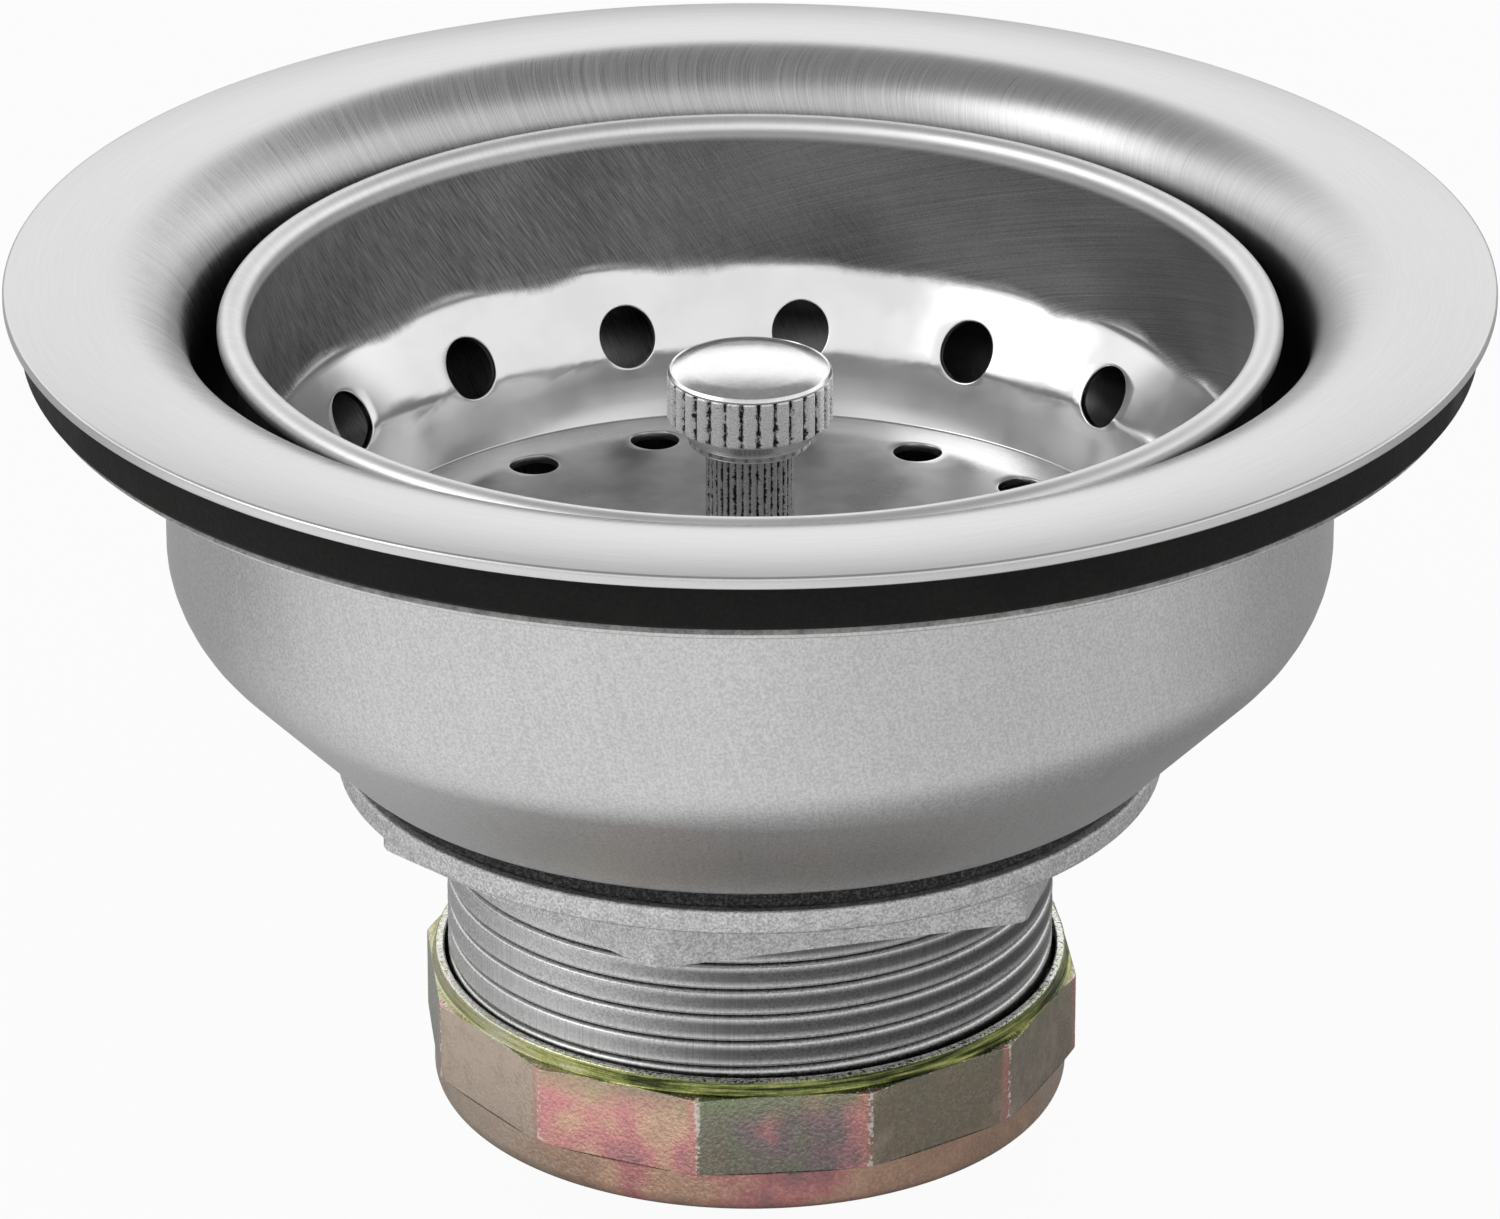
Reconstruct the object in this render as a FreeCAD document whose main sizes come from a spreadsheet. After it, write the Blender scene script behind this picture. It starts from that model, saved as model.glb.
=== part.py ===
import FreeCAD, Part
import math
import os
import re
import Sketcher

# Double-cup basket strainer for a kitchen sink, in millimetres and degrees.
# The frame's origin is on the axis in the plane of the sink's deck, under the flange, with +Z up.
sizes = {
    # inner cup
    "flange_width": 14.15,
    "body_sheet": 1.0,
    "flange_bend": 6.0,
    "throat_r": 43.0,
    "body_depth": 34.05,
    "shoulder_slope": 44.0,
    "shoulder_round": 5.65,
    "floor_round": 0.6,
    "floor_margin": 1.73,
    "body_hole_gap": 0.3,
    # rings under the flange
    "sink_gasket_t": 3.8,
    "sink_gasket_inset": 1.29,
    "sink_gasket_gap": 0.3,
    "friction_t": 0.55,
    "friction_inset": 1.85,
    # outer cup
    "cup_gap": 0.45,
    "cup_sheet": 0.7,
    "cup_lip_inset": 2.65,
    "cup_lip_bend": 1.5,
    "cup_hole_gap": 0.45,
    # outlet spigot with its crossbar
    "thread_r": 23.85,
    "spigot_wall": 3.55,
    "spigot_length": 32.45,
    "spigot_flange_w": 6.65,
    "spigot_flange_t": 2.0,
    "spigot_chamfer": 0.9,
    "spigot_gasket_t": 1.0,
    "spigot_gasket_inset": 0.5,
    "bar_width": 3.4,
    "bar_height": 3.5,
    "bar_arms": 4,
    "bar_root": 0.9,
    "hub_r": 6.2,
    "hub_height": 4.5,
    "hub_gap": 2.45,
    # locknut
    "thread_gap": 0.3,
    "locknut_gasket_t": 1.67,
    "locknut_gasket_inset": 0.8,
    "plate_t": 1.94,
    "plate_lip": 2.62,
    "hex_wall": 1.52,
    "hex_height": 4.6,
    "hex_sides": 6,
    "locknut_turn": 45.5,
    # coupling nut
    "nut_height": 11.56,
    "nut_wall": 0.85,
    "nut_flat_proud": 0.11,
    "nut_flats": 12,
    "nut_rim": 0.5,
    "nut_bevel": 0.9,
    "nut_skirt": 3.6,
    "nut_step": 0.6,
    "nut_round": 1.5,
    "nut_lip_t": 1.56,
    "nut_turn": 6.0,
    "tail_play": 1.25,
    "tail_gap": 0.5,
    "tail_seal_gap": 0.25,
    "tail_washer_t": 2.5,
    "tail_washer_gap": 0.55,
    "tail_washer_bevel": 0.8,
    # basket
    "basket_sheet": 0.7,
    "basket_play": 2.1,
    "rim_roll": 1.1,
    "basket_wall_h": 11.2,
    "basket_cone_h": 11.1,
    "basket_cone_in": 5.2,
    "cone_round": 3.0,
    "floor_edge_round": 0.8,
    "floor_ring_in": 4.9,
    "floor_rise": 0.7,
    "wall_holes": 16,
    "wall_hole_d": 4.5,
    "wall_hole_drop": 4.9,
    "floor_holes": 16,
    "floor_hole_d": 3.9,
    "floor_hole_in": 5.9,
    "basket_turn": 16.0,
    # stem, knob and clip
    "stem_r": 3.43,
    "stem_height": 11.5,
    "shank_r": 2.5,
    "shank_gap": 0.1,
    "shank_round": 0.83,
    "stem_grooves": 36,
    "stem_groove_depth": 0.2,
    "stem_tail": 1.5,
    "tenon_r": 2.4,
    "tenon_length": 3.5,
    "tenon_gap": 0.05,
    "knob_r": 6.4,
    "knob_band": 3.75,
    "knob_dome": 1.25,
    "dome_flat": 0.32,
    "knob_neck_h": 1.9,
    "knob_collar": 0.63,
    "knob_neck_r": 4.8,
    "knob_grooves": 30,
    "knob_groove_depth": 0.35,
    "clip_neck_r": 1.9,
    "clip_gap": 0.15,
    "clip_end_r": 3.0,
    "clip_r": 3.6,
    "clip_hub_gap": 0.3,
    "clip_height": 2.8,
    "clip_slit": 1.0,
    # stopper under the basket
    "stopper_height": 5.65,
    "stopper_seat": 6.2,
    "stopper_edge": 2.1,
    "stopper_slope": 0.7,
    "stopper_neck_r": 9.0,
    "stopper_round": 0.6,
    "stop_washer_r": 12.0,
    "stop_washer_t": 1.0,
    "stop_washer_gap": 0.2,
    "stem_nut_af": 8.0,
    "stem_nut_t": 2.5,
    "stem_nut_sides": 6,
    # cutting tools and blanks
    "blank_over": 0.1,
    "cutter_over": 1.0,
    "groove_flank": 40.0,
    "groove_over": 0.05,
}

doc = FreeCAD.newDocument("basket_strainer")
sheet = doc.addObject("Spreadsheet::Sheet", "size")
for row, (alias, number) in enumerate(sizes.items(), start=1):
    sheet.set(f"A{row}", alias)
    sheet.set(f"B{row}", str(number))
    sheet.setAlias(f"B{row}", alias)
doc.recompute()


def bound(text):
    """The expression with every driving dimension named through the sheet."""
    return re.sub(r"[a-z]\w*", lambda word: "size." + word[0] if word[0] in sizes else word[0], text)


def value(text):
    return float(sheet.evalExpression(text))


def plane(body, role):
    return next(feature for feature in body.Origin.OriginFeatures if feature.Role == role)


def pin(sketch, point, x, y):
    """Hold a sketch point at the two expressions, or on an axis where one is 0."""
    for axis, kind, text in ((-2, "DistanceX", x), (-1, "DistanceY", y)):
        if text == "0":
            sketch.addConstraint(Sketcher.Constraint("PointOnObject", *point, axis))
        else:
            at = sketch.addConstraint(Sketcher.Constraint(kind, -1, 1, *point, value(text)))
            sketch.setExpression(f"Constraints[{at}]", bound(text))


def draw(sketch, corners, closed=True):
    """Straight lines through the corners. A corner's third expression, where it has one, is its rounding."""
    points = [FreeCAD.Vector(value(corner[0]), value(corner[1]), 0) for corner in corners]
    count = len(points)
    arrive, leave, arcs = list(points), list(points), {}
    for i, corner in enumerate(corners):
        if len(corner) < 3:
            continue
        back = (points[i - 1] - points[i]).normalize()
        ahead = (points[(i + 1) % count] - points[i]).normalize()
        half = back.getAngle(ahead) / 2
        radius = value(corner[2])
        arrive[i] = points[i] + back * (radius / math.tan(half))
        leave[i] = points[i] + ahead * (radius / math.tan(half))
        middle = points[i] + (back + ahead).normalize() * (radius / math.sin(half) - radius)
        arcs[i] = Part.Arc(arrive[i], middle, leave[i])
    lines = [
        sketch.addGeometry(Part.LineSegment(leave[i], arrive[(i + 1) % count]))
        for i in range(count if closed else count - 1)
    ]
    for i, corner in enumerate(corners):
        before = lines[i - 1] if closed or i > 0 else None
        after = lines[i] if i < len(lines) else None
        point = (before, 2) if after is None else (after, 1)
        if i in arcs:
            arc = sketch.addGeometry(arcs[i])
            starts = sketch.getPoint(arc, 1).isEqual(arrive[i], 1e-6)
            first, last = (1, 2) if starts else (2, 1)
            sketch.addConstraint(Sketcher.Constraint("Tangent", before, 2, arc, first))
            sketch.addConstraint(Sketcher.Constraint("Tangent", arc, last, after, 1))
            at = sketch.addConstraint(Sketcher.Constraint("Radius", arc, value(corner[2])))
            sketch.setExpression(f"Constraints[{at}]", bound(corner[2]))
            point = (sketch.addGeometry(Part.Point(points[i]), True), 1)
            sketch.addConstraint(Sketcher.Constraint("PointOnObject", *point, before))
            sketch.addConstraint(Sketcher.Constraint("PointOnObject", *point, after))
        elif before is not None and after is not None:
            sketch.addConstraint(Sketcher.Constraint("Coincident", before, 2, after, 1))
        pin(sketch, point, corner[0], corner[1])


def sketch_on(body, role, name, height="0"):
    """A sketch on one of the body's origin planes, lifted along its normal."""
    sketch = body.newObject("Sketcher::SketchObject", name)
    sketch.AttachmentSupport = (plane(body, role), "")
    sketch.MapMode = "FlatFace"
    if height != "0":
        sketch.setExpression("AttachmentOffset.Base.z", bound(height))
    return sketch


def new_body(label):
    body = doc.addObject("PartDesign::Body", label)
    body.Label = label
    return body


def turned(label, corners):
    """A body turned about the axis from a closed half section of radii and heights."""
    body = new_body(label)
    section = sketch_on(body, "XZ_Plane", label + "_section")
    draw(section, corners)
    turn = body.newObject("PartDesign::Revolution", label + "_turn")
    turn.Profile = section
    turn.ReferenceAxis = (section, ["V_Axis"])
    turn.Angle = 360
    body.Tip = turn
    doc.recompute()
    return body


def ring(label, inner, outer, bottom, top):
    return turned(label, [(inner, bottom), (outer, bottom), (outer, top), (inner, top)])


def drawn_sheet(label, corners, thickness):
    """A sheet drawn into a round cup, from the line of its upper face and its thickness."""
    line = doc.addObject("Sketcher::SketchObject", label + "_line")
    line.Placement = FreeCAD.Placement(FreeCAD.Vector(), FreeCAD.Rotation(FreeCAD.Vector(1, 0, 0), 90))
    draw(line, corners, closed=False)
    doc.recompute()
    strip = doc.addObject("Part::Offset2D", label + "_strip")
    strip.Source = line
    strip.Mode = "Skin"
    strip.Join = "Intersection"
    strip.Fill = True
    strip.setExpression("Value", bound(thickness))
    shell = doc.addObject("Part::Revolution", label)
    shell.Source = strip
    shell.Axis = FreeCAD.Vector(0, 0, 1)
    shell.Base = FreeCAD.Vector(0, 0, 0)
    shell.Angle = 360
    shell.Label = label
    doc.recompute()
    return shell


def patterned(body, feature, count):
    """Repeat a feature round the body's own axis."""
    doc.recompute()
    pattern = body.newObject("PartDesign::PolarPattern", feature.Name + "_round")
    pattern.Originals = [feature]
    pattern.Axis = (plane(body, "Z_Axis"), [""])
    pattern.Angle = 360
    pattern.setExpression("Occurrences", bound(count))
    body.Tip = pattern
    doc.recompute()
    return pattern


def pocket(body, sketch, name, length=None, reverse=False):
    """Cut a sketch's outline down from its plane, by a length or right through."""
    cut = body.newObject("PartDesign::Pocket", name)
    cut.Profile = sketch
    cut.Reversed = reverse
    if length is None:
        cut.Type = "ThroughAll"
    else:
        cut.Type = "Length"
        cut.setExpression("Length", bound(length))
    body.Tip = cut
    return cut


def circle_at(sketch, x, y, diameter):
    centre = FreeCAD.Vector(value(x), value(y), 0)
    circle = sketch.addGeometry(Part.Circle(centre, FreeCAD.Vector(0, 0, 1), value(diameter) / 2))
    at = sketch.addConstraint(Sketcher.Constraint("Diameter", circle, value(diameter)))
    sketch.setExpression(f"Constraints[{at}]", bound(diameter))
    pin(sketch, (circle, 3), x, y)


def blank_r(apothem, count):
    """Radius of the turned blank that equal flats are milled from, just past their corners."""
    return f"({apothem} / cos(180 / {count}) + blank_over)"


def mill_flats(body, count, apothem, top, height):
    """Mill equal flats round a turned body, down from a height."""
    cutter = sketch_on(body, "XY_Plane", body.Name + "_flat", top)
    outside = f"({blank_r(apothem, count)} + cutter_over)"
    side = f"{outside} * sin(180 / {count})"
    draw(cutter, [(apothem, f"-{side}"), (outside, f"-{side}"), (outside, side), (apothem, side)])
    patterned(body, pocket(body, cutter, body.Name + "_mill", height), count)


def groove_round(body, count, radius, depth, top, height):
    """Cut straight V grooves round a turned body, as a knurling wheel presses them."""
    cutter = sketch_on(body, "XY_Plane", body.Name + "_groove", top)
    brim = f"{radius} + groove_over"
    half = f"({depth} + groove_over) * tan(groove_flank)"
    draw(cutter, [(f"{radius} - {depth}", "0"), (brim, f"-{half}"), (brim, half)])
    patterned(body, pocket(body, cutter, body.Name + "_knurl", height), count)


def spun(body, angle):
    """Turn a finished piece about the axis to where its flats or holes stand."""
    body.Placement = FreeCAD.Placement(FreeCAD.Vector(), FreeCAD.Rotation(FreeCAD.Vector(0, 0, 1), 1))
    body.setExpression("Placement.Rotation.Angle", bound(angle))
    return body


# Heights that several pieces share, worked down the stack from the deck plane
lip_top = "-(sink_gasket_t + friction_t)"
cup_floor = "(-body_depth - body_sheet - cup_gap)"
locknut_top = f"({cup_floor} - cup_sheet - locknut_gasket_t)"
hex_top = f"({locknut_top} - plate_t)"
seat = "(-body_depth + spigot_gasket_t + spigot_flange_t)"
spigot_end = f"({seat} - spigot_length)"
nut_seat = f"({spigot_end} - tail_washer_t)"
nut_bottom = f"({nut_seat} - nut_lip_t)"
nut_top = f"({nut_bottom} + nut_height)"
hub_top = f"({seat} - stem_nut_t - hub_gap)"
basket_floor = f"({seat} + stopper_height + basket_sheet)"
floor_edge = f"({basket_floor} - floor_rise)"
cone_top = f"({floor_edge} + basket_cone_h)"
rim_height = f"({cone_top} + basket_wall_h)"
knob_bottom = f"({basket_floor} + stem_height)"

# Radii that several pieces share
flange_r = "(throat_r + flange_width)"
bore_r = "(thread_r - spigot_wall)"
tail_r = f"({bore_r} - tail_play)"
spigot_flange_r = "(thread_r + spigot_flange_w)"
body_floor_r = f"({spigot_flange_r} + floor_margin)"
shoulder = f"(-body_depth + (throat_r - {body_floor_r}) / tan(shoulder_slope))"
nut_bore_r = "(thread_r + thread_gap)"
hex_apothem = f"({nut_bore_r} + hex_wall)"
plate_r = f"({hex_apothem} / cos(180 / hex_sides) + plate_lip)"
basket_r = "(throat_r - basket_play - 2 * rim_roll)"
basket_floor_r = f"({basket_r} - basket_cone_in)"
stem_hole_r = "(shank_r + shank_gap)"


def make_strainer_body():
    return drawn_sheet("strainer_body", [
        (flange_r, "body_sheet"),
        ("throat_r", "body_sheet", "flange_bend"),
        ("throat_r", shoulder, "shoulder_round"),
        (body_floor_r, "-body_depth", "floor_round"),
        ("thread_r + body_hole_gap", "-body_depth"),
    ], "body_sheet")


def make_mounting_cup():
    away = "(body_sheet + cup_gap)"
    return drawn_sheet("mounting_cup", [
        (f"{flange_r} - cup_lip_inset", lip_top),
        (f"throat_r + {away}", lip_top, "cup_lip_bend"),
        (f"throat_r + {away}", f"{shoulder} - {away} * tan(shoulder_slope / 2)", f"shoulder_round + {away}"),
        (f"{body_floor_r} + {away} * tan(45 - shoulder_slope / 2)", cup_floor, f"floor_round + {away}"),
        ("thread_r + cup_hole_gap", cup_floor),
    ], "cup_sheet")


def make_rings():
    return [
        ring("sink_gasket", "throat_r + flange_bend + sink_gasket_gap", f"{flange_r} - sink_gasket_inset",
             "-sink_gasket_t", "0"),
        ring("friction_washer", "throat_r + body_sheet + cup_gap + cup_lip_bend",
             f"{flange_r} - friction_inset", lip_top, "-sink_gasket_t"),
        ring("locknut_gasket", "thread_r + cup_hole_gap", f"{plate_r} - locknut_gasket_inset",
             locknut_top, f"{cup_floor} - cup_sheet"),
        ring("spigot_gasket", "thread_r + body_hole_gap", f"{spigot_flange_r} - spigot_gasket_inset",
             "-body_depth", "-body_depth + spigot_gasket_t"),
    ]


def make_outlet_spigot():
    flange_under = f"{seat} - spigot_flange_t"
    body = turned("outlet_spigot", [
        (bore_r, seat),
        (spigot_flange_r, seat),
        (spigot_flange_r, flange_under),
        ("thread_r", flange_under),
        ("thread_r", f"{spigot_end} + spigot_chamfer"),
        ("thread_r - spigot_chamfer", spigot_end),
        (bore_r, spigot_end),
    ])
    arm = sketch_on(body, "XY_Plane", "crossbar_arm", hub_top)
    reach = f"{bore_r} + bar_root"
    half = "bar_width / 2"
    draw(arm, [("0", f"-{half}"), (reach, f"-{half}"), (reach, half), ("0", half)])
    bar = body.newObject("PartDesign::Pad", "crossbar")
    bar.Profile = arm
    bar.Reversed = True
    bar.setExpression("Length", bound("bar_height"))
    patterned(body, bar, "bar_arms")
    disc = sketch_on(body, "XY_Plane", "hub_disc", hub_top)
    circle_at(disc, "0", "0", "2 * hub_r")
    hub = body.newObject("PartDesign::Pad", "hub")
    hub.Profile = disc
    hub.Reversed = True
    hub.setExpression("Length", bound("hub_height"))
    body.Tip = hub
    doc.recompute()
    bore = sketch_on(body, "XY_Plane", "hub_bore", hub_top)
    circle_at(bore, "0", "0", "2 * (clip_r + clip_hub_gap)")
    pocket(body, bore, "hub_hole", "hub_height")
    doc.recompute()
    return body


def make_locknut():
    hex_bottom = f"{hex_top} - hex_height"
    corner_r = blank_r(hex_apothem, "hex_sides")
    body = turned("locknut", [
        (nut_bore_r, locknut_top),
        (plate_r, locknut_top),
        (plate_r, hex_top),
        (corner_r, hex_top),
        (corner_r, hex_bottom),
        (nut_bore_r, hex_bottom),
    ])
    mill_flats(body, "hex_sides", hex_apothem, hex_top, "hex_height")
    return spun(body, "locknut_turn")


def make_coupling_nut():
    collar = f"({nut_bore_r} + nut_wall)"
    apothem = f"({collar} + nut_flat_proud)"
    corner_r = blank_r(apothem, "nut_flats")
    body = turned("coupling_nut", [
        (nut_bore_r, nut_top),
        (collar, nut_top),
        (collar, f"{nut_top} - nut_rim"),
        (corner_r, f"{nut_top} - nut_rim - nut_bevel"),
        (corner_r, f"{nut_bottom} + nut_skirt + nut_step"),
        (collar, f"{nut_bottom} + nut_skirt"),
        (collar, nut_bottom, "nut_round"),
        (f"{tail_r} + tail_gap", nut_bottom),
        (f"{tail_r} + tail_gap", nut_seat),
        (nut_bore_r, nut_seat),
    ])
    mill_flats(body, "nut_flats", apothem, nut_top, "nut_height")
    return spun(body, "nut_turn")


def make_tailpiece_washer():
    inner = f"{tail_r} + tail_seal_gap"
    outer = f"{nut_bore_r} - tail_washer_gap"
    return turned("tailpiece_washer", [
        (inner, nut_seat),
        (f"{outer} - tail_washer_bevel", nut_seat),
        (outer, f"{nut_seat} + tail_washer_bevel"),
        (outer, spigot_end),
        (inner, spigot_end),
    ])


def make_basket():
    shell = drawn_sheet("basket_shell", [
        (basket_r, rim_height),
        (basket_r, cone_top, "cone_round"),
        (basket_floor_r, floor_edge, "floor_edge_round"),
        (f"{basket_floor_r} - floor_ring_in", basket_floor),
        (stem_hole_r, basket_floor),
    ], "basket_sheet")
    body = new_body("basket")
    body.BaseFeature = shell
    doc.recompute()
    rim = body.newObject("PartDesign::AdditiveTorus", "rolled_rim")
    rim.setExpression("Radius1", bound(f"{basket_r} + rim_roll"))
    rim.setExpression("Radius2", bound("rim_roll"))
    rim.setExpression("Placement.Base.z", bound(rim_height))
    body.Tip = rim
    doc.recompute()
    wall_hole = sketch_on(body, "YZ_Plane", "wall_hole")
    circle_at(wall_hole, "0", f"{cone_top} - wall_hole_drop", "wall_hole_d")
    patterned(body, pocket(body, wall_hole, "wall_punch", reverse=True), "wall_holes")
    floor_hole = sketch_on(body, "XY_Plane", "floor_hole")
    circle_at(floor_hole, f"{basket_floor_r} - floor_hole_in", "0", "floor_hole_d")
    patterned(body, pocket(body, floor_hole, "floor_punch"), "floor_holes")
    return spun(body, "basket_turn")


def make_stem():
    neck_top = f"({hub_top} - hub_height / 2 + clip_height / 2 + clip_gap)"
    neck_bottom = f"({hub_top} - hub_height / 2 - clip_height / 2 - clip_gap)"
    end = f"({hub_top} - hub_height - stem_tail)"
    body = turned("stem", [
        ("0", f"{knob_bottom} + tenon_length"),
        ("tenon_r", f"{knob_bottom} + tenon_length"),
        ("tenon_r", knob_bottom),
        ("stem_r", knob_bottom),
        ("stem_r", basket_floor),
        ("shank_r", basket_floor),
        ("shank_r", neck_top),
        ("clip_neck_r", neck_top),
        ("clip_neck_r", neck_bottom),
        ("shank_r", neck_bottom),
        ("shank_r", end, "shank_round"),
        ("0", end),
    ])
    groove_round(body, "stem_grooves", "stem_r", "stem_groove_depth", knob_bottom, "stem_height")
    return body


def make_stem_clip():
    middle = f"({hub_top} - hub_height / 2)"
    inner = "clip_neck_r + clip_gap"
    body = turned("stem_clip", [
        (inner, f"{middle} - clip_height / 2"),
        ("clip_end_r", f"{middle} - clip_height / 2"),
        ("clip_r", middle, "clip_height / 2"),
        ("clip_end_r", f"{middle} + clip_height / 2"),
        (inner, f"{middle} + clip_height / 2"),
    ])
    outside = "clip_r + cutter_over"
    half = "clip_slit / 2"
    slit = sketch_on(body, "XY_Plane", "clip_slit_outline", f"{middle} + clip_height / 2")
    draw(slit, [("0", f"-{half}"), (outside, f"-{half}"), (outside, half), ("0", half)])
    pocket(body, slit, "clip_slot", "clip_height")
    doc.recompute()
    return body


def make_knob():
    band_bottom = f"({knob_bottom} + knob_neck_h)"
    band_top = f"({band_bottom} + knob_band)"
    apex = f"({band_top} + knob_dome)"
    dome_round = "(knob_r / 2 - dome_flat) / tan(atan(2 * knob_dome / knob_r) / 2)"
    body = turned("knob", [
        ("0", apex),
        ("knob_r / 2", apex, dome_round),
        ("knob_r", band_top),
        ("knob_r", band_bottom),
        ("knob_neck_r", f"{knob_bottom} + knob_collar"),
        ("knob_neck_r", knob_bottom),
        ("tenon_r + tenon_gap", knob_bottom),
        ("tenon_r + tenon_gap", f"{knob_bottom} + tenon_length"),
        ("0", f"{knob_bottom} + tenon_length"),
    ])
    groove_round(body, "knob_grooves", "knob_r", "knob_groove_depth", band_top, "knob_band")
    return body


def make_stopper():
    under = f"{seat} + stop_washer_t"
    recess = "stop_washer_r + stop_washer_gap"
    outer = f"({bore_r} + stopper_seat)"
    shoulder_up = f"{seat} + stopper_edge + stopper_slope"
    return turned("stopper", [
        (stem_hole_r, f"{seat} + stopper_height"),
        ("stopper_neck_r", f"{seat} + stopper_height"),
        ("stopper_neck_r", shoulder_up, "stopper_round"),
        (outer, f"{seat} + stopper_edge"),
        (outer, seat, "stopper_round"),
        (recess, seat),
        (recess, under),
        (stem_hole_r, under),
    ])


def make_stem_nut():
    bottom = f"{seat} - stem_nut_t"
    apothem = "stem_nut_af / 2"
    corner_r = blank_r(apothem, "stem_nut_sides")
    body = turned("stem_nut", [
        (stem_hole_r, bottom),
        (corner_r, bottom),
        (corner_r, seat),
        (stem_hole_r, seat),
    ])
    mill_flats(body, "stem_nut_sides", apothem, seat, "stem_nut_t")
    return body


subparts = [
    make_strainer_body(),
    make_mounting_cup(),
    *make_rings(),
    make_outlet_spigot(),
    make_locknut(),
    make_coupling_nut(),
    make_tailpiece_washer(),
    make_basket(),
    make_knob(),
    make_stem(),
    make_stem_clip(),
    make_stopper(),
    ring("stopper_washer", stem_hole_r, "stop_washer_r", seat, f"{seat} + stop_washer_t"),
    make_stem_nut(),
]
doc.recompute()

for item in doc.Objects:
    if "Invalid" in item.State or "Error" in item.State:
        raise RuntimeError(f"{item.Label} failed: {item.State}")
for part in subparts:
    if part.Shape.isNull() or not part.Shape.isValid() or len(part.Shape.Solids) != 1:
        raise RuntimeError(f"{part.Label} is not one valid solid")

os.makedirs("parts", exist_ok=True)
for part in subparts:
    part.Shape.exportStep(f"parts/{part.Label}.step")
    box = part.Shape.BoundBox
    heights = f"z {box.ZMin:.2f} to {box.ZMax:.2f}"
    print(f"{part.Label}: {part.Shape.Volume:.1f} mm3, {heights}")
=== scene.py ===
import math

import bmesh
import bpy
from mathutils import Matrix, Vector


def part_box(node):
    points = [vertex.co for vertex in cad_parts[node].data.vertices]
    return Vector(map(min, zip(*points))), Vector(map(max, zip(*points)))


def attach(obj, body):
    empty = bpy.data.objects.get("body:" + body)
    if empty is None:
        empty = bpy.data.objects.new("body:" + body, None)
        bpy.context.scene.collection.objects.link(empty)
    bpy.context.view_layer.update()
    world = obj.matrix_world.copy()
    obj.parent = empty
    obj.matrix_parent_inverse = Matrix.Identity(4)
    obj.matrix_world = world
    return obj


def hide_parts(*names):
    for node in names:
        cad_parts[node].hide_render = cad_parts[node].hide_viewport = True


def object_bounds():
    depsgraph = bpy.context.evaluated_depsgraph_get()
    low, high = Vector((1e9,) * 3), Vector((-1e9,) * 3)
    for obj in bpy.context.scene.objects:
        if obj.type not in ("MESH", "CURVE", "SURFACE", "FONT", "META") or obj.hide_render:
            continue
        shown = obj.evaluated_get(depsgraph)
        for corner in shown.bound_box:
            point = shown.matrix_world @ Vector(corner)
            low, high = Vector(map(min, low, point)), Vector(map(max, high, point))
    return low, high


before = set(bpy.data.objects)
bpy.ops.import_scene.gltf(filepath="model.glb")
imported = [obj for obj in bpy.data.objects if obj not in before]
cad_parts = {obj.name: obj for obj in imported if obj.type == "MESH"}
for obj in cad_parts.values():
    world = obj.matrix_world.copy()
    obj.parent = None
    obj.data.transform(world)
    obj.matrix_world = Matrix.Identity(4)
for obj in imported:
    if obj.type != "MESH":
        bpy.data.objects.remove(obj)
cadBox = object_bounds()
scene = bpy.context.scene
mm = 0.001  # piece sizes below are in millimetres, the scene is in metres
fullTurn = 2 * math.pi
sectors = 16  # equal sectors of a round piece; each row of the basket's holes has one in each
print("frame:", len(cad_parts), "nodes")


# Shader sums

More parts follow.
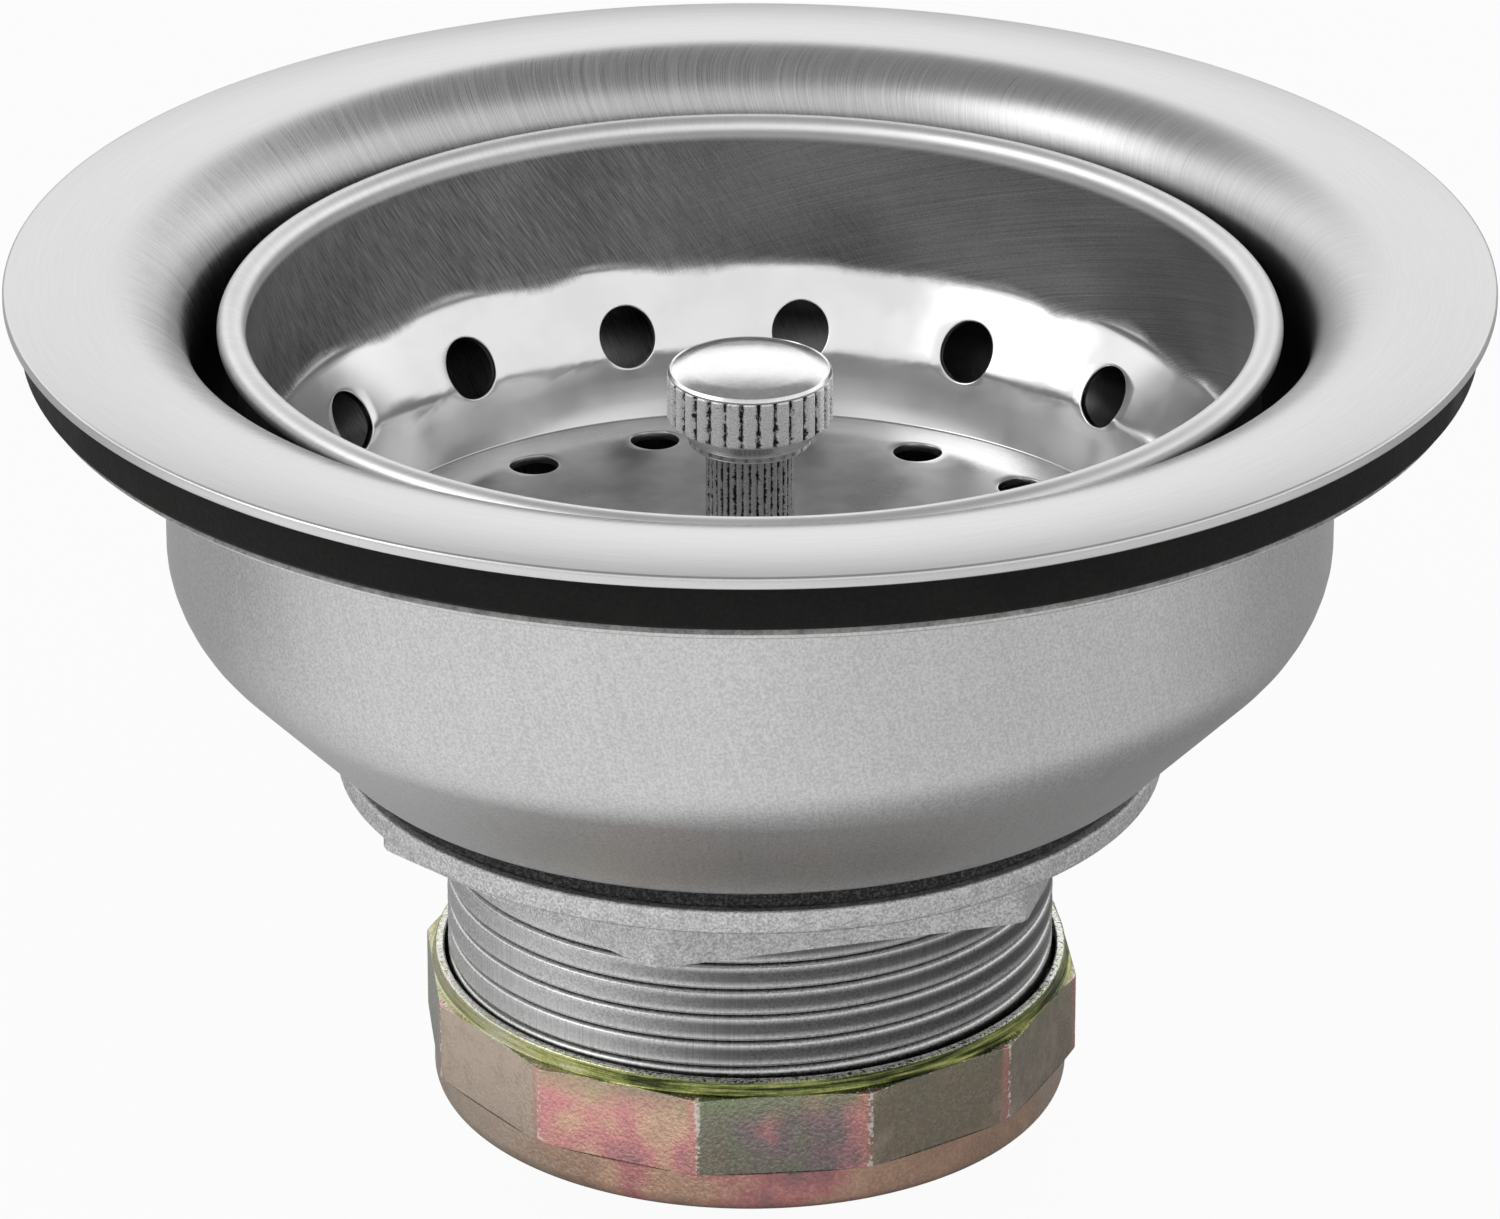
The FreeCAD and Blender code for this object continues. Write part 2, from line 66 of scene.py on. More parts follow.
class Wire:
    # a shader socket that can be added, multiplied and so on in plain Python
    def __init__(self, tree, socket):
        self.tree = tree
        self.socket = socket

    def feed(self, socket, given):
        if isinstance(given, Wire):
            self.tree.links.new(given.socket, socket)
        elif isinstance(given, tuple) and len(given) == 3 and len(socket.default_value) == 4:
            socket.default_value = (*given, 1)
        else:
            socket.default_value = given

    def node(self, kind, settings=None, values=None, out=0):
        made = self.tree.nodes.new("ShaderNode" + kind)
        for name, setting in (settings or {}).items():
            if name == "stops":
                for index, (place, colour) in enumerate(setting):
                    stops = made.color_ramp.elements
                    stop = stops[index] if index < 2 else stops.new(place)
                    stop.position = place
                    stop.color = (*colour, 1)
            else:
                setattr(made, name, setting)
        for name, given in (values or {}).items():
            self.feed(made.inputs[name], given)
        return Wire(self.tree, made.outputs[out])

    def math(self, operation, second=0.0):
        return self.node("Math", {"operation": operation}, {0: self, 1: second})

    def __add__(self, other):
        return self.math("ADD", other)

    def __sub__(self, other):
        return self.math("SUBTRACT", other)

    def __rsub__(self, other):
        return self.node("Math", {"operation": "SUBTRACT"}, {0: other, 1: self})

    def __mul__(self, other):
        return self.math("MULTIPLY", other)

    def __truediv__(self, other):
        return self.math("DIVIDE", other)

    __radd__ = __add__
    __rmul__ = __mul__

    def ramp(self, low, high, bottom=0.0, top=1.0):
        # runs from bottom to top as the value goes from low to high, held outside
        values = {"From Min": low, "From Max": high, "To Min": bottom, "To Max": top, "Value": self}
        return self.node("MapRange", {"interpolation_type": "SMOOTHSTEP"}, values)

    def noise(self, scale, detail=2.0, roughness=0.5):
        values = {"Vector": self, "Scale": scale, "Detail": detail, "Roughness": roughness}
        return self.node("TexNoise", {"noise_dimensions": "3D"}, values)

    def attribute(self, name):
        return self.node("Attribute", {"attribute_name": name}, None, out=2)

    def xyz(self):
        made = self.node("SeparateXYZ", None, {0: self})
        return [Wire(self.tree, socket) for socket in made.socket.node.outputs]

    def vector(self, x, y, z):
        return self.node("CombineXYZ", None, {"X": x, "Y": y, "Z": z})

    def colours(self, *stops, between="LINEAR"):
        made = self.node("ValToRGB", {"stops": stops}, {"Fac": self})
        made.socket.node.color_ramp.interpolation = between
        return made

    def dimmed(self, factor):
        return self.node("VectorMath", {"operation": "SCALE"}, {0: self, "Scale": factor})

    def blend(self, first, second):
        # first where this mask is 0, second where it is 1
        return self.node("Mix", {"data_type": "RGBA"}, {0: self, 6: first, 7: second}, out=2)


def startFinish(name, **fixed):
    material = bpy.data.materials.new(name)
    material.use_nodes = True
    tree = material.node_tree
    shader = tree.nodes["Principled BSDF"]
    for socket, setting in fixed.items():
        shader.inputs[socket.replace("_", " ")].default_value = setting
    place = Wire(tree, tree.nodes.new("ShaderNodeTexCoord").outputs["Object"])
    return material, place


def endFinish(material, place, colour, roughness, height, look):
    # height is a pattern from 0 to 1, and the look's line is its size in millimetres
    shader = place.tree.nodes["Principled BSDF"]
    values = {"Height": height, "Distance": look["line"] * mm, "Strength": 1.0}
    bump = place.node("Bump", None, values)
    place.feed(shader.inputs["Base Color"], colour)
    place.feed(shader.inputs["Roughness"], roughness)
    place.feed(shader.inputs["Normal"], bump)
    return material


def roundAbout(place):
    # radius, height and the outward direction of a point about the drain's axis, in metres
    x, y, z = place.xyz()
    squared = x * x + y * y
    radius = squared.math("SQRT")
    return radius, z, x / radius, y / radius


def lathe(place, along, across):
    # a noise drawn out round the axis, as a lathe or a buffing wheel leaves it
    radius, z, dx, dy = roundAbout(place)
    stretched = place.vector(dx * along, dy * along, (radius + z) * across)
    return stretched.noise(1.0, 3.0, 0.6)


def strokes(place, around, twist, fall):
    # hair lines that wind round the axis by twist radians per metre down the wall, with fall breaks per metre
    radius, z, dx, dy = roundAbout(place)
    down = z - radius
    angle = down * twist
    cosine = angle.math("COSINE")
    sine = angle.math("SINE")
    turned = place.vector((dx * cosine - dy * sine) * around, (dx * sine + dy * cosine) * around, down * fall)
    return turned.noise(1.0, 3.0, 0.65)


# ranges that hold most of a noise's values
spread = {"wide": (0.30, 0.70), "middle": (0.35, 0.65), "narrow": (0.36, 0.64)}


def greyOf(place, tone, low, high):
    level = tone.ramp(*spread["narrow"], low, high)
    return place.node("CombineColor", None, {"Red": level, "Green": level, "Blue": level})


# Finishes: noises are scale, detail and roughness, hair lines and rings as in strokes and lathe

def brushedSteelFinish():
    look = {"tone": (0.60, 0.82), "rough": (0.27, 0.37), "line": 0.016, "rings": (9.0, 5200.0),
            "hairs": (620.0, -14.0, 380.0), "bold": (1.4, 0.65), "grain": (9000.0, 2.0), "calm": 0.3}
    bend = {"outer": 50.0, "inner": 45.5, "top": 0.5, "foot": -9.0, "inside": 0.28, "shade": 0.14}
    material, place = startFinish("brushed_steel", Metallic=1.0, Anisotropic=0.15)
    radius, z, dx = roundAbout(place)[:3]
    rings = lathe(place, *look["rings"])
    # the throat's hair lines are bolder at the left
    hairs = (strokes(place, *look["hairs"]) - 0.5) * dx.ramp(-0.5, 0.6, *look["bold"]) + 0.5
    throat = radius.ramp(bend["outer"] * mm, bend["inner"] * mm)
    grain = place.noise(*look["grain"])
    smooth = (rings * 0.5 + grain * 0.5 - 0.5) * look["calm"] + 0.5
    lines = smooth * (1 - throat) + (hairs * 0.85 + grain * 0.15) * throat
    # painted shade: the colour darkens deeper into the cup, down to the bend's inside level at its foot, and
    # a little more across the throat's bend
    depth = z.ramp(bend["top"] * mm, bend["foot"] * mm, 1.0, bend["inside"]) * (1 - throat * bend["shade"])
    colour = greyOf(place, lines, *look["tone"]).dimmed(depth)
    roughness = lines.ramp(*spread["middle"], *look["rough"])
    return endFinish(material, place, colour, roughness, lines * (throat * 0.7 + 0.3), look)


def satinSteelFinish():
    look = {"tone": (0.52, 0.72), "rough": (0.27, 0.37), "line": 0.025, "hairs": (420.0, 6.0, 90.0),
            "grain": (4400.0, 3.0, 0.65), "cloud": (90.0, 3.0)}
    material, place = startFinish("satin_steel", Metallic=1.0, Anisotropic=0.2)
    hairs = strokes(place, *look["hairs"])
    grain = place.noise(*look["grain"])
    cloud = place.noise(*look["cloud"])
    lines = hairs * 0.25 + grain * 0.75
    colour = greyOf(place, lines * 0.92 + cloud * 0.08, *look["tone"])
    roughness = (lines * 0.7 + cloud * 0.3).ramp(*spread["middle"], *look["rough"])
    return endFinish(material, place, colour, roughness, lines, look)


def basketSteelFinish(lie):
    # from the top: bright rim, brushed wall, polished cone and satin floor
    look = {"wall": (0.16, 0.46), "cone": (0.76, 0.83), "floor": (0.60, 0.76), "rim": (0.84, 0.94),
            "wallRough": (0.28, 0.46), "coneRough": (0.15, 0.21), "floorRough": (0.27, 0.34),
            "rimRough": 0.28, "line": 0.022, "steep": (560.0, -17.0, 420.0), "shallow": (560.0, 84.0, 160.0),
            "cloud": (42.0, 3.0, 0.55), "fine": (9000.0, 2.0), "coarse": (500.0, 2.0), "smear": (160.0, 3.0)}
    zone = {"rimFoot": -3.9, "rimTop": -3.3, "change": -14.7, "fadeFoot": 0.4, "fadeTop": 0.7, "peak": 0.45,
            "ragged": 2.4, "wave": (150.0, 4.0, 0.6), "floorOut": 33.3, "floorIn": 32.9}
    material, place = startFinish("basket_steel", Metallic=1.0, Anisotropic=0.2)
    radius = roundAbout(place)[0]
    x, y, z = place.xyz()
    cloud = place.noise(*look["cloud"])
    # brushed steeply at the left of the wall and nearly level at the right
    side = (x + (cloud - 0.5) * 0.04).ramp(-0.022, 0.016)
    steep = strokes(place, *look["steep"])
    shallow = (strokes(place, *look["shallow"]) - 0.5) * 0.6 + 0.5
    lines = (steep * (1 - side) + shallow * side) * 0.8 + place.noise(*look["fine"]) * 0.2
    lines = lines + (cloud - 0.5) * 0.35
    smear = place.noise(*look["smear"])
    grain = place.noise(*look["coarse"]) * 0.3 + smear * 0.7
    # the polish stops at a wavy line that peaks above each hole
    angle = (y.math("ARCTAN2", x) - math.radians(lie["turn"])) * sectors
    peaks = angle.math("COSINE")
    edge = z + (place.noise(*zone["wave"]) - 0.5) * (zone["ragged"] * mm) - peaks * (zone["peak"] * mm)
    fade = (zone["change"] - zone["fadeFoot"], zone["change"] + zone["fadeTop"])
    rim = z.ramp(zone["rimFoot"] * mm, zone["rimTop"] * mm)
    wall = edge.ramp(fade[0] * mm, fade[1] * mm) * (1 - rim)
    floor = radius.ramp(zone["floorOut"] * mm, zone["floorIn"] * mm)
    colour = floor.blend(greyOf(place, smear, *look["cone"]), greyOf(place, grain, *look["floor"]))
    colour = rim.blend(colour, greyOf(place, lines, *look["rim"]))
    colour = wall.blend(colour, greyOf(place, lines, *look["wall"]))
    shiny = smear.ramp(*spread["middle"], *look["coneRough"]) * (1 - floor) + rim * look["rimRough"]
    satin = grain.ramp(*spread["middle"], *look["floorRough"]) * floor
    brushed = lines.ramp(*spread["middle"], *look["wallRough"]) * wall
    roughness = (shiny + satin) * (1 - wall) + brushed
    return endFinish(material, place, colour, roughness, lines * wall + smear * 0.1, look)


def basketOutsideFinish():
    look = {"tone": (0.34, 0.46), "rough": (0.34, 0.46), "line": 0.014, "hairs": (430.0, 30.0, 40.0)}
    material, place = startFinish("basket_outside", Metallic=1.0)
    hairs = strokes(place, *look["hairs"])
    colour = greyOf(place, hairs, *look["tone"])
    roughness = hairs.ramp(*spread["middle"], *look["rough"])
    return endFinish(material, place, colour, roughness, hairs, look)


def chromeFinish():
    look = {"tone": (0.76, 0.86), "rough": (0.12, 0.22), "line": 0.004, "smear": (900.0, 4.0),
            "rings": (14.0, 9000.0)}
    material, place = startFinish("chrome", Metallic=1.0)
    smear = place.noise(*look["smear"])
    rings = lathe(place, *look["rings"])
    tone = smear * 0.5 + rings * 0.5
    colour = greyOf(place, tone, *look["tone"])
    return endFinish(material, place, colour, tone.ramp(*spread["wide"], *look["rough"]), tone, look)


def knurlFinish(name, crest, metal):
    # plated, with painted shade in the grooves that are cut below the crests, made ragged by noise
    look = {"crest": (crest, crest, crest), "groove": (0.03, 0.03, 0.03), "rough": (0.2, 0.4), "dullShade": 0.2,
            "line": 0.04, "grain": (5200.0, 3.0, 0.7), "patch": (1700.0, 3.0)}
    material, place = startFinish(name, Metallic=metal)
    grain = place.noise(*look["grain"])
    patch = place.noise(*look["patch"])
    depth = place.attribute("groove")
    # painted shade: the grooves are darkened towards near black, with ragged edges from the grain and patch
    # noises
    grooveShade = (depth + (grain - 0.5) * 2.6 + (patch - 0.5) * 2.0).ramp(0.45, 0.85)
    colour = grooveShade.blend(look["crest"], look["groove"])
    roughness = grain.ramp(*spread["wide"], *look["rough"]) + grooveShade * look["dullShade"]
    return endFinish(material, place, colour, roughness, grain, look)


def softFinishes():
    # rubber, fibre and plastic: the colour mixes marks with a fine grain, and roughness follows the main one
    looks = {
        "black_rubber": {
            "dark": (0.004, 0.004, 0.004), "light": (0.014, 0.014, 0.013), "range": (0.35, 0.70),
            "grain": (2600.0, 4.0, 0.6), "marks": (190.0, 3.0), "share": 0.6, "line": 0.05,
            "rough": (0.42, 0.62), "shine": 0.15},
        "grey_fibre": {
            "dark": (0.20, 0.20, 0.19), "light": (0.50, 0.50, 0.48), "range": (0.35, 0.65),
            "grain": (3000.0, 5.0, 0.7), "marks": (700.0, 3.0), "share": 0.4, "line": 0.06,
            "rough": (0.6, 0.8), "shine": 0.5},
        "white_poly": {
            "dark": (0.74, 0.74, 0.70), "light": (0.86, 0.86, 0.83), "range": (0.30, 0.70),
            "grain": (4000.0, 2.0), "marks": (500.0, 3.0), "share": 1.0, "line": 0.02,
            "rough": (0.38, 0.5), "shine": 0.5},
    }
    finishes = []
    for name, look in looks.items():
        material, place = startFinish(name, Metallic=0.0, Specular_IOR_Level=look["shine"])
        grain = place.noise(*look["grain"])
        marks = place.noise(*look["marks"])
        main = marks if look["share"] > 0.5 else grain
        mixed = marks * look["share"] + grain * (1 - look["share"])
        colour = mixed.ramp(*look["range"]).blend(look["dark"], look["light"])
        roughness = main.ramp(*spread["wide"], *look["rough"])
        finishes.append(endFinish(material, place, colour, roughness, grain, look))
    return finishes


def sealFinish():
    look = {"black": (0.006, 0.006, 0.006), "dusty": (0.11, 0.11, 0.11), "rough": (0.5, 0.7), "line": 0.12,
            "grain": (4200.0, 3.0, 0.7)}
    material, place = startFinish("dusty_rubber", Metallic=0.0, Specular_IOR_Level=0.3)
    grain = place.noise(*look["grain"])
    colour = grain.ramp(0.42, 0.68).blend(look["black"], look["dusty"])
    roughness = grain.ramp(*spread["wide"], *look["rough"])
    return endFinish(material, place, colour, roughness, grain, look)


def dieCastFinish():
    look = {"tone": (0.42, 0.92), "rough": (0.28, 0.44), "line": 0.12, "sand": (4600.0, 4.0, 0.75),
            "flow": (850.0, 3.0, 0.6)}
    material, place = startFinish("die_cast", Metallic=1.0)
    sand = place.noise(*look["sand"])
    flow = place.noise(*look["flow"])
    tone = sand * 0.82 + flow * 0.18
    colour = greyOf(place, tone, *look["tone"])
    return endFinish(material, place, colour, tone.ramp(*spread["wide"], *look["rough"]), sand, look)


def threadFinish():
    look = {"tone": (0.40, 0.76), "rough": (0.22, 0.40), "line": 0.035, "root": (0.16, 0.16, 0.16),
            "ticks": (240.0, 0.0, 160.0), "patch": (120.0, 2.0), "sand": (4600.0, 3.0, 0.7),
            "dullShade": (0.15, 0.86)}
    material, place = startFinish("cut_thread", Metallic=1.0)
    ticks = strokes(place, *look["ticks"])
    patch = place.noise(*look["patch"]).ramp(0.48, 0.6)
    sand = place.noise(*look["sand"])
    tone = (ticks * patch * 0.6 + sand * (1 - patch * 0.6) - 0.5) * 0.6 + 0.5
    depth = place.attribute("groove")
    across = place.attribute("across")
    # painted shade along the middle of each land and a slight painted highlight towards its edges, the shade
    # weaker at the left
    rightward = place.xyz()[0].ramp(-0.017, 0.0, *look["dullShade"])
    dullShade = across.ramp(0.12, 0.42) * across.ramp(0.94, 0.66) * rightward
    land = greyOf(place, tone, *look["tone"]).dimmed(1.1 - dullShade)
    # painted shade: the thread's root is darkened towards the root colour
    colour = depth.ramp(0.55, 1.0).blend(land, look["root"])
    return endFinish(material, place, colour, tone.ramp(*spread["wide"], *look["rough"]), tone, look)


def chromateFinish(nut):
    # yellow passivation on zinc: its film drifts through taupe, green, purple, pink and copper
    look = {"line": 0.05, "rough": (0.16, 0.30), "worn": 0.03, "bare": (0.84, 0.77, 0.71),
            "green": (0.34, 0.40, 0.24), "greenDeep": 2.6, "blush": (0.72, 0.38, 0.33),
            "rim": (0.80, 0.80, 0.78), "footShade": 1.1, "footShadeDark": 0.45, "drift": (180.0, 2.0, 0.45),
            "fine": (520.0, 4.0, 0.6), "sand": (3400.0, 2.0, 0.6), "rings": (4.0, 5200.0)}
    hues = ((0.03, (0.66, 0.54, 0.44)), (0.18, (0.37, 0.31, 0.24)), (0.32, (0.33, 0.33, 0.26)),
            (0.46, (0.36, 0.28, 0.29)), (0.60, (0.80, 0.36, 0.36)), (0.72, (0.84, 0.54, 0.40)),
            (0.86, (0.60, 0.41, 0.31)), (1.0, (0.66, 0.54, 0.44)))
    olives = ((0.43, (0.035, 0.04, 0.02)), (0.54, (0.17, 0.20, 0.06)), (0.65, (0.44, 0.45, 0.16)),
              (0.82, (0.62, 0.60, 0.44)))
    # for each flat: its film, how much more at its right, how green its top is, film on the skirt, patchiness
    flats = ((0.22, 0.50, 0.2, 0.88, 0.2), (0.38, 0.50, 0.5, 0.80, 0.3), (0.62, 0.40, 0.6, 0.62, 0.4),
             (0.30, 0.60, 0.3, 0.45, 0.3), (0.52, 0.50, 0.5, 0.60, 0.4), (0.42, 0.60, 0.6, 0.80, 0.3),
             (0.32, 0.50, 0.4, 0.92, 0.2), (0.03, 0.50, 0.0, 1.00, 0.03), (0.66, 0.50, 0.6, 0.74, 0.45),
             (0.47, 0.64, 0.7, 0.64, 0.45), (0.19, 0.52, 0.1, 0.84, 0.2), (0.15, 0.50, 0.2, 0.88, 0.2))
    material, place = startFinish("yellow_chromate", Metallic=1.0)
    x, y, z = place.xyz()
    angle = y.math("ARCTAN2", x) - math.radians(nut["turn"])
    share = angle / (fullTurn / nut["flats"]) + nut["flats"] + 0.5
    index = share.math("FLOOR")
    across = share - index - 0.5

    def lookUp(position, first, between):
        # three columns of the flats' table, with a column of zeros after its last
        turn = position.math("MODULO", nut["flats"]) / nut["flats"]
        stops = [(number / nut["flats"], (*film, 0)[first:first + 3]) for number, film in enumerate(flats)]
        parts = turn.colours(*stops, between=between)
        parts = parts.node("SeparateColor", None, {"Color": parts}).socket.node.outputs
        return [Wire(place.tree, socket) for socket in parts]

    thick, lean, greenTop = lookUp(index + 0.1, 0, "CONSTANT")
    skirtFilm, patchy = lookUp(share - 0.5, 3, "LINEAR")[:2]
    drift = (place.noise(*look["drift"]) - 0.5) * 1.5
    fine = place.noise(*look["fine"])
    sand = place.noise(*look["sand"])
    foot = nut["skirtTop"] + nut["step"] / 2
    onFlats = z.ramp((foot - 0.1) * mm, (foot + 0.1) * mm)
    film = (thick + (lean - 0.5) * across * 2) * onFlats + skirtFilm * (1 - onFlats)
    film = film + drift * patchy + (fine - 0.5) * 0.25
    body = film.colours(*hues)
    greenFoot = nut["bevelFoot"] - look["greenDeep"]
    upper = (z + drift * (2 * mm)).ramp(greenFoot * mm, nut["bevelFoot"] * mm)
    body = (upper * greenTop * onFlats).blend(body, look["green"])
    # the film is pinker beside the corner at each flat's right
    blush = (across + (fine - 0.5) * 0.12).ramp(0.42, 0.46) * onFlats * 0.75
    body = blush.blend(body, look["blush"])
    # the band on top is olive with dark lathe rings, with a painted highlight that makes it paler at the left
    rings = lathe(place, *look["rings"])
    leftHighlight = x.ramp(-0.005, -0.022) * 0.22
    olive = (rings * 0.9 + fine * 0.15 + leftHighlight).colours(*olives)
    ledge = nut["bevelFoot"] + nut["ledge"] / 2
    topBand = (z + (fine - 0.5) * (0.4 * mm)).ramp((ledge - 0.1) * mm, (ledge + 0.1) * mm)
    colour = topBand.blend(body, olive)
    # bare metal on the corners, along the ledge and round the inner rim
    corner = across.math("ABSOLUTE").ramp(0.5 - look["worn"], 0.5) * onFlats * (1 - topBand)
    radius = roundAbout(place)[0] + (sand - 0.5) * (0.6 * mm)
    inner = radius.ramp((nut["rim"] + 0.05) * mm, (nut["rim"] - 0.1) * mm) * topBand
    line = topBand * (1 - topBand) * 3.2
    scuff = ((corner + line * 0.6) * ((sand + fine - 1) * 5.0 + 0.5)).ramp(0.25, 0.8) * 0.8
    colour = scuff.blend(colour, look["bare"])
    colour = (inner * sand.ramp(0.36, 0.52)).blend(colour, look["rim"])
    # painted shade in the seam above the skirt and at the skirt's foot, mixed with the sand speckle
    seamShade = onFlats * (1 - onFlats) * 3.2
    footShade = z.ramp(nut["bottom"] * mm, (nut["bottom"] + look["footShade"]) * mm, look["footShadeDark"], 1.0)
    speckAndShade = ((sand - 0.5) * (patchy + 0.12).ramp(0.0, 0.5) * 0.9 + 1.0 - seamShade) * footShade
    roughness = (sand * 0.5 + fine * 0.5).ramp(*spread["narrow"], *look["rough"])
    place.feed(place.tree.nodes["Principled BSDF"].inputs["Metallic"], 1 - scuff * 0.6)
    return endFinish(material, place, colour.dimmed(speckAndShade), roughness, sand, look)


def springSteelFinish():
    look = {"tone": (0.46, 0.64), "rough": (0.22, 0.34), "line": 0.01, "rings": (12.0, 8000.0)}
    material, place = startFinish("spring_steel", Metallic=1.0)
    rings = lathe(place, *look["rings"])
    colour = greyOf(place, rings, *look["tone"])
    return endFinish(material, place, colour, rings.ramp(*spread["wide"], *look["rough"]), rings, look)


# Mesh tools

def boxOf(node):
    low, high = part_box(node)
    return low.z / mm, high.z / mm


def addProfile(bm, corners, closed=False):
    # a line through corners of radius and height, where a third number rounds the corner
    points = [bm.verts.new((corner[0] * mm, 0, corner[1] * mm)) for corner in corners]
    ends = points[1:] + points[:1] if closed else points[1:]
    for start, end in zip(points, ends):
        bm.edges.new((start, end))
    for point, corner in zip(points, corners):
        if len(corner) < 3:
            continue
        back, ahead = [edge.other_vert(point).co - point.co for edge in point.link_edges]
        turn = math.pi - back.angle(ahead)
        steps = max(3, round(math.degrees(turn) / 7))
        bmesh.ops.bevel(bm, geom=[point], offset=corner[2] * mm * math.tan(turn / 2), offset_type="OFFSET",
                        segments=steps, profile=0.5, affect="VERTICES", material=-1)


def repeatRound(bm, count, rise=0.0):
    # copies of everything so far, each a step further round the axis and higher by rise
    bmesh.ops.spin(bm, geom=bm.verts[:] + bm.edges[:] + bm.faces[:], cent=(0, 0, 0), axis=(0, 0, 1),
                   angle=fullTurn / sectors * (count - 1), steps=count - 1, dvec=(0, 0, rise),
                   use_duplicate=True)


def spinSector(bm, steps, rise=0.0):
    # the drawn line swept through one sector, climbing by rise; steps are for a full turn
    bmesh.ops.spin(bm, geom=bm.verts[:] + bm.edges[:], cent=(0, 0, 0), axis=(0, 0, 1),
                   angle=fullTurn / sectors, steps=steps // sectors, dvec=(0, 0, rise * sectors / steps))


def joinPoints(bm):
    bmesh.ops.remove_doubles(bm, verts=bm.verts[:], dist=0.002 * mm)


def weld(bm):
    joinPoints(bm)
    bmesh.ops.recalc_face_normals(bm, faces=bm.faces[:])


def spinRound(bm, steps):
    # one sector is spun and then repeated, which is far quicker than a full spin
    spinSector(bm, steps)
    repeatRound(bm, sectors)
    weld(bm)


def breakEdges(bm, width):
    # a small round on every edge sharper than 55 degrees
    limit = math.radians(55)
    edges = [edge for edge in bm.edges if edge.is_manifold and edge.calc_face_angle() > limit]
    bmesh.ops.bevel(bm, geom=edges, offset=width * mm, offset_type="OFFSET", segments=3, profile=0.5,
                    affect="EDGES", material=-1, clamp_overlap=True)


def thicken(bm, sheet):
    # the drawn line is the sheet's upper face, so its normals look up and into the cup
    lowest = min(bm.faces, key=lambda face: face.calc_center_median().xy.length)
    if lowest.normal.z < 0:
        bmesh.ops.reverse_faces(bm, faces=bm.faces[:])
    bmesh.ops.solidify(bm, geom=bm.faces[:], thickness=sheet * mm)


def pressFlats(bm, flats, apothem, turn, low, high, soft):
    # move the wall in to equal flats between two heights, with a soft corner
    step = fullTurn / flats
    for vert in bm.verts:
        if not low * mm <= vert.co.z <= high * mm:
            continue
        angle = math.atan2(vert.co.y, vert.co.x) - math.radians(turn)
        within = (angle + step / 2) % step - step / 2
        radius = vert.co.xy.length
        flat = apothem * mm / math.cos(within)
        if radius < flat - soft * mm:
            continue
        mix = max(0.0, min(1.0, 0.5 + 0.5 * (radius - flat) / (soft * mm)))
        shrunk = radius + (flat - radius) * mix - soft * mm * mix * (1 - mix)
        vert.co.xy *= shrunk / radius


def addObject(bm, name, material):
    mesh = bpy.data.meshes.new(name)
    bm.to_mesh(mesh)
    bm.free()
    mesh.materials.append(material)
    made = bpy.data.objects.new(name, mesh)
    scene.collection.objects.link(made)
    return made


def addPiece(bm, name, body, slot, material, *nodes, sharp=38):
    piece = addObject(bm, name, material)
    piece.data.shade_smooth()
    piece.data.set_sharp_from_angle(angle=math.radians(sharp))
    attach(piece, body)
    if nodes:
        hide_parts(*nodes)
    print("piece:", name, len(piece.data.polygons), "faces")
    return piece


def turnedPiece(name, corners, body, slot, material, *nodes, steps=192, closed=True):
    bm = bmesh.new()
    addProfile(bm, corners, closed)
    spinRound(bm, steps)
    addPiece(bm, name, body, slot, material, *nodes)


def ringSection(inner, outer, low, high, innerRound, outerRound):
    return [(inner, low, innerRound), (outer, low, outerRound), (outer, high, outerRound),
            (inner, high, innerRound)]


# Cups

def makeCup(name, node, body, slot, material, cup):
    # drawn sheet, from its out-turned brim over the wall and the shoulder to the floor's hole
    floor, top = boxOf(node)
    inside = floor + cup["sheet"]
    bm = bmesh.new()
    addProfile(bm, [
        (cup["brim"], top),
        (cup["wall"], top, cup["bend"]),
        (cup["wall"], cup["shoulder"], cup["shoulderRound"]),
        (cup["floorRadius"], inside, cup["floorRound"]),
        (cup["hole"], inside),
    ])
    spinRound(bm, 320)
    thicken(bm, cup["sheet"])
    breakEdges(bm, cup["edge"])
    addPiece(bm, name, body, slot, material, node)


def makeCups(brushed, satin):
    inner = {"sheet": 1.0, "brim": 57.15, "bend": 6.0, "wall": 43.0, "shoulder": -22.9, "shoulderRound": 5.65,
             "floorRadius": 32.23, "floorRound": 0.6, "hole": 24.15, "edge": 0.28}
    outer = {"sheet": 0.7, "brim": 54.5, "bend": 1.5, "wall": 44.45, "shoulder": -23.49, "shoulderRound": 7.1,
             "floorRadius": 32.85, "floorRound": 2.05, "hole": 24.3, "edge": 0.2}
    makeCup("inner_cup", "strainer_body", "strainer", "brushed_steel", brushed, inner)
    makeCup("outer_cup", "mounting_cup", "mounting", "satin_steel", satin, outer)


# Rings

def makeRings(rubber, seal, fibre, poly):
    # for each ring: its node, body, inner and outer radius, rounds, slot and material
    rings = {
        "rubber_ring": ("sink_gasket", "mounting", 49.3, 55.86, 0.45, "black_rubber", rubber),
        "fibre_ring": ("friction_washer", "mounting", 45.95, 55.3, 0.12, "grey_fibre", fibre),
        "seal_ring": ("locknut_gasket", "mounting", 24.3, 31.46, 0.2, "black_rubber", seal),
        "spigot_ring": ("spigot_gasket", "strainer", 24.15, 30.0, 0.2, "black_rubber", rubber),
        "tail_ring": ("tailpiece_washer", "tail_washer", 19.3, 23.6, 0.5, "white_poly", poly),
    }
    for name, (node, body, inner, outer, soft, slot, material) in rings.items():
        section = ringSection(inner, outer, *boxOf(node), soft, soft)
        turnedPiece(name, section, body, slot, material, node, steps=256)


# Threaded outlet

